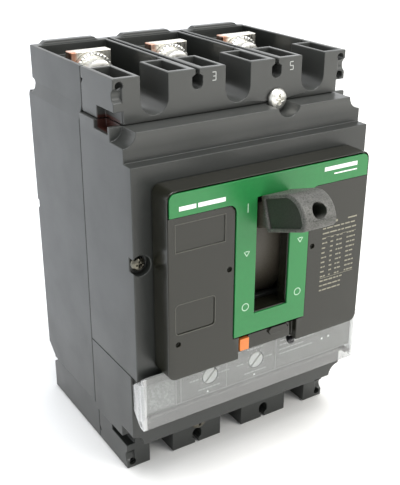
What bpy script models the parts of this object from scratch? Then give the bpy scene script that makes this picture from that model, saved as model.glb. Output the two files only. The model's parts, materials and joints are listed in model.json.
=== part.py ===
"""Three-pole moulded case circuit breaker, modelled piece by piece.

Frame: origin at the centre of the rear mounting face, X to the right seen from the front,
+Y out of the back (the operator stands on the -Y side), +Z up (line terminals on top).
Every size below is in millimetres; the helpers scale them to metres.
"""
import math

import bmesh
import bpy
from mathutils import Matrix, Vector

MM = 0.001

# Overall envelope of the case
HALF_W = 52.5          # half width of the case body
HALF_H = 80.5          # half height of the case
TERM_HALF_W = 51.1     # half width of the terminal zones
POLE_PITCH = 35.0
POLES = (-POLE_PITCH, 0.0, POLE_PITCH)
BARRIERS = (-POLE_PITCH / 2, POLE_PITCH / 2)

# Depths from the rear mounting face, all towards -Y
SEAM_Y = -49.0         # joint between the base and everything in front of it
TERM_Y = -73.8         # front of the terminal zones
POST_Y = TERM_Y - 0.9  # front of the terminal posts and of the plinth under them
STEP_Y = -83.5         # front of the middle step
PANEL_Y = -88.5        # front of the housing panel
COVER_Y = -99.3        # front of the accessory cover
LABEL_Y = -99.6        # front of the green facing
TRIP_Y = -90.6         # front of the trip unit's moulding
WINDOW_Y = -92.6       # front of the clear trip unit cover
REAR_INSET = 1.4       # the terminal zones stand clear of the mounting plane

# Heights
TERM_FLOOR_Z = 60.7    # floor of the terminal pockets
STEP_Z = 64.0          # end of the middle step
PANEL_TOP_Z = 53.6
CAVITY_TOP_Z = 56.5    # top of the hollows behind the panel
CASE_SCREW_Z = {1: 65.4, -1: -68.2}   # case screws at the line and the load end
PANEL_SCREW_X, PANEL_SCREW_Z = 49.5, 17.2   # screws in the edges of the housing panel
PANEL_BOTTOM_Z = -30.4
GAP = 0.3              # play between touching pieces
EPS = 1.0              # cutters run this far past the surface they open

# Terminal bars, behind their screws
BAR_FRONT, BAR_REAR = -24.6, -19.4
BAR_HALF_W, BAR_TOP_Z = 8.6, 80.2

# Walls
SIDE_WALL = 2.5
REAR_WALL = 3.0
BARRIER_SLOT = 0.8     # half width of the slot between two poles
PIN_SIDES = 12
ROUND_SIDES = 24

# Operating handle: it turns about an X axis behind the front panel
PIVOT_Y, PIVOT_Z = -54.0, 14.85
HANDLE_TILT = math.radians(19.6)   # closed position, above horizontal
HANDLE_REACH = 74.8                # pivot to the tip of the grip
GRIP_HALF_W = 6.7
GRIP_ABOVE, GRIP_BELOW = 7.1, 6.3  # grip above and below its centre line
GRIP_TOP_R, GRIP_LOW_R = 8.6, 3.2  # rounding of the grip's tip
RIM = 1.2                          # rim left round the recess in each side of the grip

# Rotary contact shaft
SHAFT_Y, SHAFT_Z = -26.0, 0.0
ARM_REACH = 27.0

# Clear trip unit cover hinge
WINDOW_HINGE_Y, WINDOW_HINGE_Z = -90.4, -47.9

# Trip unit controls
DIAL_X = (-21.8, 0.2)
DIAL_Z = -36.2
DIAL_R = 3.4
BUTTON_X, BUTTON_Z = -11.4, -21.3
SEAL_X, SEAL_Z = 14.5, -29.4
FASCIA_TOP_Z, FASCIA_LOW_Z = -27.8, -44.3
TRIP_BAR_Y, TRIP_BAR_Z = -76.0, -37.5
FINGER = 0.8           # half thickness of the trip bar's fingers
STEM_END_Y = TRIP_BAR_Y - FINGER - GAP
SPRING_SHELF_Y = -81.4 # shelf behind the trip button's spring

COLOURS = {
    "case_grey": ((0.085, 0.09, 0.088, 1), 0.48, 0.0),
    "cover_grey": ((0.05, 0.053, 0.048, 1), 0.42, 0.0),
    "facing_green": ((0.04, 0.32, 0.10, 1), 0.40, 0.0),
    "trip_grey": ((0.34, 0.33, 0.32, 1), 0.45, 0.0),
    "clear_plastic": ((0.85, 0.87, 0.87, 0.25), 0.08, 0.0),
    "handle_grey": ((0.22, 0.215, 0.21, 1), 0.60, 0.0),
    "dial_white": ((0.75, 0.75, 0.72, 1), 0.40, 0.0),
    "button_orange": ((0.75, 0.20, 0.04, 1), 0.40, 0.0),
    "tinned_copper": ((0.80, 0.78, 0.74, 1), 0.28, 1.0),
    "plated_steel": ((0.70, 0.71, 0.72, 1), 0.25, 1.0),
    "bare_copper": ((0.72, 0.38, 0.24, 1), 0.35, 1.0),
    "spring_steel": ((0.35, 0.35, 0.36, 1), 0.35, 1.0),
    "shaft_brown": ((0.12, 0.06, 0.045, 1), 0.55, 0.0),
}


# ---------------------------------------------------------------- helpers

def clear_scene():
    for obj in list(bpy.data.objects):
        bpy.data.objects.remove(obj, do_unlink=True)


def material(name):
    found = bpy.data.materials.get(name)
    if found:
        return found
    colour, roughness, metallic = COLOURS[name]
    mat = bpy.data.materials.new(name)
    mat.use_nodes = True
    shader = mat.node_tree.nodes["Principled BSDF"]
    shader.inputs["Base Color"].default_value = colour
    shader.inputs["Roughness"].default_value = roughness
    shader.inputs["Metallic"].default_value = metallic
    shader.inputs["Alpha"].default_value = colour[3]
    return mat


def solid(verts, faces):
    """A closed body from corner points in millimetres, with its faces turned outwards."""
    mesh = bpy.data.meshes.new("solid")
    mesh.from_pydata([Vector(v) * MM for v in verts], [], faces)
    bm = bmesh.new()
    bm.from_mesh(mesh)
    bmesh.ops.recalc_face_normals(bm, faces=bm.faces)
    bm.to_mesh(mesh)
    bm.free()
    obj = bpy.data.objects.new("solid", mesh)
    bpy.context.scene.collection.objects.link(obj)
    return obj


def prism(axis, outline, lo, hi):
    """An outline in the plane across axis, extruded from lo to hi along it."""
    def place(a, b, along):
        return {"X": (along, a, b), "Y": (a, along, b), "Z": (a, b, along)}[axis]
    count = len(outline)
    verts = [place(a, b, lo) for a, b in outline] + [place(a, b, hi) for a, b in outline]
    faces = [tuple(range(count)), tuple(range(2 * count - 1, count - 1, -1))]
    faces += [(i, (i + 1) % count, count + (i + 1) % count, count + i) for i in range(count)]
    return solid(verts, faces)


def box(x, y, z):
    """A block from three (low, high) pairs in any order."""
    (x0, x1), (y0, y1), (z0, z1) = sorted(x), sorted(y), sorted(z)
    return prism("Z", [(x0, y0), (x1, y0), (x1, y1), (x0, y1)], z0, z1)


def arc(centre, radius, start, end, steps):
    """Points on an arc, angles in degrees."""
    angles = [math.radians(start + (end - start) * i / steps) for i in range(steps + 1)]
    return [(centre[0] + radius * math.cos(a), centre[1] + radius * math.sin(a)) for a in angles]


def rod(axis, centre, radius, lo, hi, sides=ROUND_SIDES):
    """A round bar along axis; centre is its place in the plane across it."""
    return prism(axis, arc(centre, radius, 0, 360 * (sides - 1) / sides, sides - 1), lo, hi)


def rounded(x, z, radius, steps=4):
    """A rectangle outline with four round corners."""
    (x0, x1), (z0, z1) = sorted(x), sorted(z)
    points = arc((x1 - radius, z1 - radius), radius, 0, 90, steps)
    points += arc((x0 + radius, z1 - radius), radius, 90, 180, steps)
    points += arc((x0 + radius, z0 + radius), radius, 180, 270, steps)
    points += arc((x1 - radius, z0 + radius), radius, 270, 360, steps)
    return points


def turned(x, z, seat, profile, rise, sides):
    """A head turned about a Y axis: (radius, height) pairs from its seat up to a pointed crown."""
    rings = [[(x + radius * math.cos(2 * math.pi * i / sides), seat - height,
               z + radius * math.sin(2 * math.pi * i / sides)) for i in range(sides)]
             for radius, height in profile]
    verts = [point for ring in rings for point in ring] + [(x, seat - rise, z)]
    faces = [tuple(range(sides))]
    for level in range(len(rings) - 1):
        a, b = level * sides, (level + 1) * sides
        for i in range(sides):
            j = (i + 1) % sides
            faces.append((a + i, a + j, b + j, b + i))
    last, tip = (len(rings) - 1) * sides, len(verts) - 1
    faces += [(last + i, last + (i + 1) % sides, tip) for i in range(sides)]
    return solid(verts, faces)


def combine(base, tools, operation):
    """Boolean of base with several bodies, worked out at once; the tools are used up."""
    joined = bmesh.new()
    for tool in tools:
        joined.from_mesh(tool.data)
    mesh = bpy.data.meshes.new("tools")
    joined.to_mesh(mesh)
    joined.free()
    operand = bpy.data.objects.new("tools", mesh)
    bpy.context.scene.collection.objects.link(operand)
    mod = base.modifiers.new("combine", "BOOLEAN")
    mod.operation = operation
    mod.use_self = True
    mod.object = operand
    depsgraph = bpy.context.evaluated_depsgraph_get()
    result = bpy.data.meshes.new_from_object(base.evaluated_get(depsgraph))
    base.modifiers.clear()
    base.data = result
    for used in [operand, *tools]:
        bpy.data.objects.remove(used, do_unlink=True)
    return base


def fuse(base, *tools):
    return combine(base, tools, "UNION")


def cut(base, *tools):
    return combine(base, tools, "DIFFERENCE")


def node(obj, name, material_name, pivot=None, tilt=0.0):
    """Name a finished body; with a pivot its origin moves onto the joint's axis.

    A tilt turns a body that was modelled level about the X axis through that pivot.
    """
    bm = bmesh.new()
    bm.from_mesh(obj.data)
    bmesh.ops.remove_doubles(bm, verts=bm.verts, dist=1e-6)
    bmesh.ops.dissolve_limit(bm, angle_limit=math.radians(0.2), verts=bm.verts, edges=bm.edges)
    bm.to_mesh(obj.data)
    bm.free()
    if pivot is not None:
        point = Vector(pivot) * MM
        obj.data.transform(Matrix.Translation(-point))
        obj.location = point
        obj.rotation_euler.x = tilt
    obj.name = name
    obj.data.name = name
    obj.data.materials.clear()
    obj.data.materials.append(material(material_name))
    for polygon in obj.data.polygons:
        polygon.use_smooth = True
    obj.data.set_sharp_from_angle(angle=math.radians(35))
    return obj


# ---------------------------------------------------------------- case

def pole_inner(pole):
    """Inner faces of one pole's chamber in the base: outer wall or barrier on each side."""
    low = -HALF_W + SIDE_WALL if pole == POLES[0] else pole - 15.6
    high = HALF_W - SIDE_WALL if pole == POLES[-1] else pole + 15.6
    return low, high


def scoop(side, end, near, far):
    """Concave quarter round that eats a corner of the middle step."""
    return rod("Y", (side * HALF_W, end * STEP_Z), 5.1, far, near, 20)


def rear_case():
    """Base moulding: rear wall, three pole chambers and six terminal pockets."""
    groove = 50.0
    half = [(TERM_HALF_W, HALF_H), (TERM_HALF_W, 66.3), (HALF_W, 60.7), (HALF_W, -62.0),
            (groove, -62.2), (groove, -63.7), (TERM_HALF_W, -64.0), (TERM_HALF_W, -HALF_H)]
    outline = [(-x, z) for x, z in half] + [(x, z) for x, z in reversed(half)]
    body = prism("Y", outline, SEAM_Y, 0)
    bosses = []
    cutters = []
    for end in (1, -1):
        cutters.append(box((-60, 60), (-REAR_INSET, EPS), (end * 62.2, end * 90)))
        for barrier in BARRIERS:
            cutters.append(box((barrier - BARRIER_SLOT, barrier + BARRIER_SLOT),
                               (SEAM_Y - EPS, -15.0), (end * 62.0, end * 90)))
            cutters.append(box((barrier - BARRIER_SLOT, barrier + BARRIER_SLOT),
                               (-15.5, -3.5), (end * 71.0, end * 90)))
        for pole in POLES:
            low, high = max(pole - 15.2, -49.4), min(pole + 15.2, 49.4)
            cutters.append(box((low, high), (SEAM_Y - EPS, -6.0), (end * TERM_FLOOR_Z, end * 90)))
            cutters.append(box((pole - BAR_HALF_W - GAP, pole + BAR_HALF_W + GAP),
                               (BAR_FRONT - GAP, BAR_REAR + GAP), (end * 50, end * 62)))
        for side in (-1, 1):
            # round bites in the rear edge beside the rear fixing holes
            cutters.append(rod("X", (-2.2, end * 64.6), 2.6, side * 47.5, side * 54, 16))
    for pole in POLES:
        low, high = pole_inner(pole)
        cutters.append(box((low, high), (SEAM_Y - EPS, -REAR_WALL), (-55.5, 55.5)))
    # the contact shaft drops in from the front through both barriers
    cutters.append(box((-30, 30), (SEAM_Y - EPS, SHAFT_Y + 5.6), (-5.6, 5.6)))
    # chamfer under the middle body, and the small locating nicks half way up
    cutters.append(prism("X", [(EPS, -55.5), (EPS, -62.2), (-6.0, -62.2), (-6.0, -61.2)], -60, 60))
    for side in (-1, 1):
        cutters.append(box((side * 50.9, side * 54), (-1.4, EPS), (10.8, 14.4)))
    cut(body, *cutters)
    for end in (1, -1):
        for barrier in BARRIERS:
            bosses.append(box((barrier - 4.4, barrier + 4.4), (-13.5, -REAR_INSET - 0.2),
                              (end * 60.0, end * 69.0)))
        for pole in POLES:
            bosses.append(box((pole - 6, pole + 6), (BAR_REAR + GAP, -5.5), (end * 60.0, end * 76.0)))
    for pole in POLES:
        lip = [(pole - 12.8, 80.2), (pole - 10.6, 81.8), (pole + 10.6, 81.8), (pole + 12.8, 80.2)]
        bosses.append(prism("Y", lip, -5.2, -REAR_INSET))
    fuse(body, *bosses)
    fixing = [rod("Y", (x, end * 64.5), 2.1, -10.5, 1, PIN_SIDES) for x in BARRIERS for end in (1, -1)]
    cut(body, *fixing)
    return node(body, "rear_case", "case_grey")


def keyhole(barrier, end):
    """Slot for an interphase barrier: a narrow throat that widens into a round bottom."""
    half, round_z, neck_z = 2.2, 75.4, 77.6
    low = [(barrier + half * math.cos(a), end * (round_z + half * math.sin(a)))
           for a in [math.radians(180 + 180 * i / 8) for i in range(9)]]
    outline = low + [(barrier + half, end * neck_z), (barrier + BARRIER_SLOT, end * (neck_z + 0.9)),
                     (barrier + BARRIER_SLOT, end * 82), (barrier - BARRIER_SLOT, end * 82),
                     (barrier - BARRIER_SLOT, end * (neck_z + 0.9)), (barrier - half, end * neck_z)]
    return prism("Y", outline, TERM_Y - 3, -58)


def terminal_front(end):
    """Bodies and cutters of one terminal end in front of the seam: posts, notches and slots."""
    inner, outer = end * (STEP_Z + GAP), end * HALF_H
    blocks = [box((-47.5, 47.5), (TERM_Y, SEAM_Y - GAP), (inner, outer)),
              box((-TERM_HALF_W, TERM_HALF_W), (-61.5, SEAM_Y - GAP), (inner, outer)),
              box((-TERM_HALF_W, TERM_HALF_W), (POST_Y, SEAM_Y - GAP), (end * 69.0, outer)),
              box((-47.2, 47.2), (POST_Y, TERM_Y + EPS), (inner, end * 70.0))]
    cutters = []
    for pole in POLES:
        low, high = max(pole - 15.2, -49.4), min(pole + 15.2, 49.4)
        cutters.append(box((low, high), (-53.5, SEAM_Y + EPS), (end * 66.3, end * 90)))
        cutters.append(box((pole - 5.5, pole + 5.5), (TERM_Y - 3, -53), (end * 71.8, end * 90)))
        cutters.append(rod("Y", (pole, end * 71.8), 5.5, TERM_Y - 3, -53, 24))
        for side in (-1, 1):
            near, far = pole + side * 7.0, pole + side * 14.2
            cutters.append(box((near, far), (-72.3, -55.0), (end * 71.0, end * 90)))
    for barrier in BARRIERS:
        cutters.append(box((barrier - BARRIER_SLOT, barrier + BARRIER_SLOT),
                           (-59, SEAM_Y + EPS), (end * 66.3, end * 90)))
        cutters.append(keyhole(barrier, end))
    screw_x = BARRIERS[1] if end > 0 else BARRIERS[0]
    cutters.append(rod("Y", (screw_x, CASE_SCREW_Z[end]), 2.1, TERM_Y - 3, SEAM_Y + EPS, PIN_SIDES))
    for side in (-1, 1):
        heights = (77.9, 70.9) if side > 0 else (77.9,)
        for height in heights:
            cutters.append(rod("Y", (side * 48.6, end * height), 1.5, TERM_Y - 3, TERM_Y + 6, 12))
        # scallop in the front edge of the outer plate, nick where it meets the base
        cutters.append(rod("X", (TERM_Y - 2.4, end * 74.6), 3.0, side * 47.6, side * 54, 20))
        cutters.append(prism("X", [(SEAM_Y + EPS, end * 76.4), (SEAM_Y + EPS, end * 72.6),
                                   (SEAM_Y - GAP - 1.6, end * 76.4)], side * 50.3, side * 54))
    return blocks, cutters


def front_case():
    """Front housing above the trip unit, with the line terminal posts."""
    body = box((-HALF_W, HALF_W), (STEP_Y, SEAM_Y - GAP), (PANEL_BOTTOM_Z, STEP_Z))
    panel = box((-HALF_W, HALF_W), (PANEL_Y, STEP_Y + EPS), (PANEL_BOTTOM_Z, PANEL_TOP_Z))
    blocks, cutters = terminal_front(1)
    fuse(body, panel, *blocks, box((-46, 46), (TERM_Y, SEAM_Y - GAP), (60, 70)))
    # main cavities: one beside each outer pole and one for the mechanism
    for low, high in ((-50.0, -18.7), (-16.3, 16.3), (18.7, 50.0)):
        cutters.append(box((low, high), (-81.0, SEAM_Y + EPS), (-28.2, CAVITY_TOP_Z)))
        near, far = max(low, -43.0), min(high, 43.0)
        cutters.append(box((near, far), (-86.0, -80.0), (-28.2, 51.2)))
    # front openings: the handle in the middle and an accessory pocket on each side
    cutters.append(box((-15.0, 15.0), (PANEL_Y - EPS, -85), (TOGGLE_LOW_Z + GAP, TOGGLE_HIGH_Z - GAP)))
    for side in (-1, 1):
        cutters.append(box((side * 22, side * 41), (PANEL_Y - EPS, -85), (-14.0, 36.0)))
        cutters.append(scoop(side, 1, TERM_Y, STEP_Y - EPS))
        # side notch under the outer plate
        cutters.append(box((side * 47.5, side * 54), (-72.2, -61.5), (61.0, STEP_Z + EPS)))
        # screw seat in the edge of the panel
        cutters.append(rod("Y", (side * PANEL_SCREW_X, PANEL_SCREW_Z), 4.0, PANEL_Y - EPS, PANEL_Y + 3.4, 20))
        cutters.append(rod("Y", (side * PANEL_SCREW_X, PANEL_SCREW_Z), 1.7, PANEL_Y - EPS, -80, PIN_SIDES))
    # clearance over the case screw, and passages down to the trip unit
    cutters.append(rod("Y", (BARRIERS[1], CASE_SCREW_Z[1]), 5.3, PANEL_Y, POST_Y, 24))
    cutters.append(box((-14, 14), (-80, -54), (PANEL_BOTTOM_Z - EPS, -27)))
    cutters.append(box((-13.9, -8.9), (PANEL_Y - EPS, -85), (-24.0, -18.6)))
    cut(body, *cutters)
    # shelf that carries the trip button's spring, drilled for its stem
    shelf = box((-17.5, -8.6), (SPRING_SHELF_Y, SPRING_SHELF_Y + 1.4), (BUTTON_Z - 2.6, BUTTON_Z + 2.6))
    cut(shelf, rod("Y", (BUTTON_X, BUTTON_Z), 1.35, SPRING_SHELF_Y - 1, SPRING_SHELF_Y + 3, PIN_SIDES))
    fuse(body, shelf)
    return node(body, "front_case", "case_grey")


def load_end_cover():
    """Moulding over the load terminals, a mirror of the line end."""
    blocks, cutters = terminal_front(-1)
    body = blocks.pop(0)
    fuse(body, *blocks)
    cut(body, *cutters)
    return node(body, "load_end_cover", "case_grey")


# ---------------------------------------------------------------- front cover and facing

COVER_HALF_W = 45.0
COVER_TOP_Z, COVER_BOTTOM_Z = 46.9, -27.0
TOGGLE_HALF_W, TOGGLE_LOW_Z, TOGGLE_HIGH_Z = 7.8, -8.7, 38.4
COLUMN_HALF_W, COLUMN_BOTTOM_Z, BAND_BOTTOM_Z = 16.8, -17.0, 37.3
FACING_R, FILLET_R = 2.4, 3.0      # facing's outer corners, and the corners under its band


def facing_outline(inset):
    """T outline of the green facing, held inset inside the cover's edge."""
    top, side = COVER_TOP_Z - 0.7 - inset, COVER_HALF_W - 0.7 - inset
    column, low, band = COLUMN_HALF_W - inset, COLUMN_BOTTOM_Z + inset, BAND_BOTTOM_Z + inset
    radius, fillet = FACING_R, FILLET_R + inset
    points = [(column, low)] + arc((column + fillet, band - fillet), fillet, 180, 90, 4) + [(side, band)]
    points += arc((side - radius, top - radius), radius, 0, 90, 5)
    points += arc((-side + radius, top - radius), radius, 90, 180, 5)
    points += [(-side, band)] + arc((-column - fillet, band - fillet), fillet, 90, 0, 4) + [(-column, low)]
    return points


def front_cover():
    """Black accessory cover around the handle."""
    body = prism("Y", rounded((-COVER_HALF_W, COVER_HALF_W), (COVER_BOTTOM_Z, COVER_TOP_Z), 3.2, 5),
                 COVER_Y, PANEL_Y - GAP)
    cutters = [box((-42.6, 42.6), (-97.2, PANEL_Y), (-13.5, 44.4)),
               box((-42.6, 42.6), (-95.6, PANEL_Y), (-24.6, -13.4)),
               box((-TOGGLE_HALF_W, TOGGLE_HALF_W), (-101, -90), (TOGGLE_LOW_Z, TOGGLE_HIGH_Z)),
               prism("Y", facing_outline(-0.15), -101, -98.4)]
    # plain flat below the facing, stepped back, with the push to trip opening in its corner
    cutters.append(box((-14.1, 13.6), (-101, -97.9), (-30, -17.5)))
    cutters.append(box((-14.1, 13.6), (-101, PANEL_Y), (-30, -24.9)))
    cutters.append(box((-13.8, -9.0), (-101, PANEL_Y), (-24.1, -18.5)))
    cutters.append(box((11.6, 13.6), (-101, -96.6), (-30, -17.9)))
    # shallow frames for the blank marker fields on the left
    cutters.append(box((-41.7, -21.3), (-101, COVER_Y + 0.4), (24.3, 34.6)))
    cutters.append(prism("Y", rounded((-42.0, -25.2), (-8.3, 4.0), 1.6), -101, COVER_Y + 0.4))
    for x, z in ((-19.1, 12.5), (-40.9, -12.2), (19.2, 12.7)):
        cutters.append(rod("Y", (x, z), 1.1, -101, COVER_Y + 1.3, PIN_SIDES))
    cut(body, *cutters)
    oval = prism("Y", rounded((0.5, 9.8), (-21.3, -18.3), 1.45), -98.7, -97)
    sill = box((-8.8, 8.8), (-98.3, -89.6), (TOGGLE_LOW_Z - 1.4, TOGGLE_LOW_Z))
    jambs = [box((side * TOGGLE_HALF_W, side * 8.8), (-98.3, -93.3), (TOGGLE_LOW_Z - 1, TOGGLE_HIGH_Z + 1))
             for side in (-1, 1)]
    fuse(body, oval, sill, *jambs)
    return node(body, "front_cover", "cover_grey")


def label_frame():
    """Green facing plate let into the front cover around the handle opening."""
    body = prism("Y", facing_outline(0.15), LABEL_Y, -98.7)
    cut(body, box((-TOGGLE_HALF_W, TOGGLE_HALF_W), (-101, -97), (TOGGLE_LOW_Z, TOGGLE_HIGH_Z)))
    return node(body, "label_frame", "facing_green")


# ---------------------------------------------------------------- trip unit

def trip_unit_body():
    """Housing of the thermal-magnetic trip unit, with the hinge studs of its clear cover."""
    top = PANEL_BOTTOM_Z - GAP
    body = box((-HALF_W, HALF_W), (STEP_Y, SEAM_Y - GAP), (-STEP_Z, top))
    block = box((-50.8, 50.8), (TRIP_Y, STEP_Y + EPS), (-49.6, top))
    studs = [rod("X", (WINDOW_HINGE_Y, WINDOW_HINGE_Z), 0.8, side * 49, side * 52.3, 10)
             for side in (-1, 1)]
    fuse(body, block)
    cutters = [box((-50.0, 50.0), (-80.8, SEAM_Y + EPS), (-61.8, -33.0)),
               box((-48.0, 48.0), (-88.4, -80.0), (-46.6, -33.0)),
               rod("X", (WINDOW_HINGE_Y, WINDOW_HINGE_Z), 3.3, -60, 60, 20),
               box((-14, 14), (-80, -54), (-33.5, PANEL_BOTTOM_Z + EPS))]
    for side in (-1, 1):
        cutters.append(scoop(side, -1, TERM_Y, STEP_Y - EPS))
    for x in DIAL_X:
        cutters.append(rod("Y", (x, DIAL_Z), DIAL_R + GAP, TRIP_Y - EPS, -87, ROUND_SIDES))
    cut(body, *cutters)
    webs = [box((side * 48.6, side * 50.8), (-90.9, -86.0), (-48.5, -46.9)) for side in (-1, 1)]
    fuse(body, *webs, *studs)
    return node(body, "trip_unit_body", "case_grey")


def trip_fascia():
    """Printed light grey plate on the trip unit, with a hole for each dial."""
    body = box((-50.4, 50.4), (-91.2, TRIP_Y - GAP), (FASCIA_LOW_Z, FASCIA_TOP_Z))
    cut(body, *[rod("Y", (x, DIAL_Z), DIAL_R + GAP, -93, -90, ROUND_SIDES) for x in DIAL_X])
    return node(body, "trip_fascia", "trip_grey")


def trip_window():
    """Clear cover of the trip unit: a plate with two returns that hang on the hinge studs."""
    body = box((-HALF_W, HALF_W), (WINDOW_Y, WINDOW_Y + 1.1), (-50.1, -27.5))
    profile = [(WINDOW_Y + 0.5, -31.0), (-87.6, -31.0), (-84.8, -33.4), (-84.8, -44.5),
               (-88.9, -49.2), (-90.2, -50.1), (WINDOW_Y + 0.5, -50.1)]
    returns = [prism("X", profile, side * 51.15, side * HALF_W) for side in (-1, 1)]
    fuse(body, *returns)
    cut(body, rod("X", (WINDOW_HINGE_Y, WINDOW_HINGE_Z), 1.1, -60, 60, PIN_SIDES),
        box((-47, 47), (-92.0, -91.0), (-52, -49.0)))
    return node(body, "trip_window", "clear_plastic", (0, WINDOW_HINGE_Y, WINDOW_HINGE_Z))


def sealing_screw():
    """Captive sealing screw in the clear cover's upper edge."""
    x, z = SEAL_X, SEAL_Z
    profile = [(1.0, 0.0), (1.0, 1.0), (1.6, 1.5), (1.6, 2.7), (1.1, 3.4)]
    body = turned(x, z, WINDOW_Y - GAP, profile, 3.6, 16)
    cut(body, box((x - 3, x + 3), (WINDOW_Y - 5, WINDOW_Y - GAP - 3.0), (z - 0.3, z + 0.3)))
    return node(body, "sealing_screw", "plated_steel")


def dial(index):
    """Slotted setting dial."""
    x = DIAL_X[index]
    body = rod("Y", (x, DIAL_Z), DIAL_R, -91.2, -88.0, ROUND_SIDES)
    fuse(body, rod("Y", (x, DIAL_Z), 1.6, -88.5, -84.0, PIN_SIDES))
    slope = 0.7
    slot = [(x - 2.6, DIAL_Z - 2.6 + slope), (x - 2.6 + slope, DIAL_Z - 2.6),
            (x + 2.6, DIAL_Z + 2.6 - slope), (x + 2.6 - slope, DIAL_Z + 2.6)]
    cut(body, prism("Y", slot, -93, -90.5))
    return node(body, "setting_dial_%d" % (index + 1), "dial_white", (x, -91.2, DIAL_Z))


def trip_button():
    """Orange push to trip button with its guide stem."""
    body = box((BUTTON_X - 2.1, BUTTON_X + 2.1), (-99.2, -88.0), (BUTTON_Z - 2.5, BUTTON_Z + 2.5))
    fuse(body, rod("Y", (BUTTON_X, BUTTON_Z), 1.0, -89, STEM_END_Y, 10))
    return node(body, "trip_button", "button_orange", (BUTTON_X, -99.2, BUTTON_Z))


def trip_bar():
    """Common trip bar with a finger for each pole."""
    body = rod("X", (TRIP_BAR_Y, TRIP_BAR_Z), 1.6, -49.4, 49.4, PIN_SIDES)
    fingers = [box((pole - 2, pole + 2), (TRIP_BAR_Y - FINGER, TRIP_BAR_Y + FINGER), (-47, TRIP_BAR_Z))
               for pole in POLES]
    tab = box((BUTTON_X - 1.5, BUTTON_X + 1.5), (TRIP_BAR_Y - FINGER, TRIP_BAR_Y + FINGER),
              (TRIP_BAR_Z, BUTTON_Z + 1.2))
    fuse(body, *fingers, tab)
    return node(body, "trip_bar", "shaft_brown", (0, TRIP_BAR_Y, TRIP_BAR_Z))


def bimetal(index):
    """Heater and bimetal strip of one pole."""
    x = POLES[index]
    foot = box((x - 5, x + 5), (-72.0, -66.0), (-60.0, -58.0))
    strip = box((x - 3.5, x + 3.5), (-72.0, -70.6), (-59.0, -36.5))
    return node(fuse(foot, strip), "bimetal_%d" % (index + 1), "bare_copper")


def magnet_core(index):
    """U core of the instantaneous magnetic release of one pole."""
    x = POLES[index]
    body = box((x - 9, x + 9), (-64.5, -54.0), (-58.0, -42.0))
    cut(body, box((x - 6, x + 6), (-66, -57.5), (-60, -40)))
    return node(body, "magnet_core_%d" % (index + 1), "spring_steel")


# ---------------------------------------------------------------- handle and mechanism

def handle():
    """Toggle: curved shutter, shank and a grip with recessed sides, modelled level."""
    y, z = PIVOT_Y, PIVOT_Z
    above, below = 60, 66
    outer = arc((y, z), 38.5, 180 - above, 180 + below, 18)
    inner = arc((y, z), 37.0, 180 + below, 180 - above, 18)
    shutter = prism("X", outer + inner, -12.8, 12.8)
    shank = box((-6.4, 6.4), (y - 56, y - 37.5), (z - 5.2, z + 5.2))
    tip, back, top, low = y - HANDLE_REACH, y - 51.5, z + GRIP_ABOVE, z - GRIP_BELOW
    outline = [(back, low), (back, top)]
    outline += arc((tip + GRIP_TOP_R, top - GRIP_TOP_R), GRIP_TOP_R, 90, 180, 7)
    outline += arc((tip + GRIP_LOW_R, low + GRIP_LOW_R), GRIP_LOW_R, 180, 270, 4)
    grip = prism("X", outline, -GRIP_HALF_W, GRIP_HALF_W)
    fuse(shutter, shank, grip)
    cutters = []
    for side in (-1, 1):
        inner_top, inner_low = GRIP_TOP_R - RIM, GRIP_LOW_R - RIM
        panel = [(back - RIM, low + RIM), (back - RIM, top - RIM)]
        panel += arc((tip + 2 * RIM + inner_top, top - RIM - inner_top), inner_top, 90, 180, 6)
        panel += arc((tip + 2 * RIM + inner_low, low + RIM + inner_low), inner_low, 180, 270, 3)
        cutters.append(prism("X", panel, side * (GRIP_HALF_W - 0.8), side * 9))
    cutters.append(rod("Y", (0, z), 2.9, tip - 1, tip + 11, 20))
    cut(shutter, *cutters)
    return node(shutter, "handle", "handle_grey", (0, y, z), -HANDLE_TILT)


def handle_yoke():
    """Steel fork that carries the handle and turns on the mechanism's side plates."""
    y, z = PIVOT_Y, PIVOT_Z
    bridge = box((-10.4, 10.4), (y - 36.0, y - 34.6), (z - 5, z + 5))
    legs = [box((side * 9.0, side * 10.4), (y - 35.5, y - 1), (z - 4, z + 4)) for side in (-1, 1)]
    hubs = [rod("X", (y, z), 5.0, side * 9.0, side * 10.4, 20) for side in (-1, 1)]
    body = fuse(bridge, *legs, *hubs)
    cut(body, rod("X", (y, z), 2.3, -20, 20, PIN_SIDES))
    return node(body, "handle_yoke", "spring_steel", (0, y, z), -HANDLE_TILT)


def mechanism_frame():
    """Two steel side plates with the handle pivots, tied across the back."""
    plate = [(-50.0, -9.0), (-50.0, 38.0), (-74.0, 38.0), (-80.0, 30.0), (-80.0, -2.0), (-74.0, -9.0)]
    sides = [prism("X", plate, side * 10.8, side * 12.2) for side in (-1, 1)]
    ties = [box((-12.2, 12.2), (-51.6, -50.0), (-9.0, -3.0)),
            box((-12.2, 12.2), (-51.6, -50.0), (32.0, 38.0))]
    pivots = [rod("X", (PIVOT_Y, PIVOT_Z), 2.0, side * 8.6, side * 11.2, PIN_SIDES)
              for side in (-1, 1)]
    body = sides.pop(0)
    fuse(body, *sides, *ties, *pivots)
    return node(body, "mechanism_frame", "plated_steel")


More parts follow.
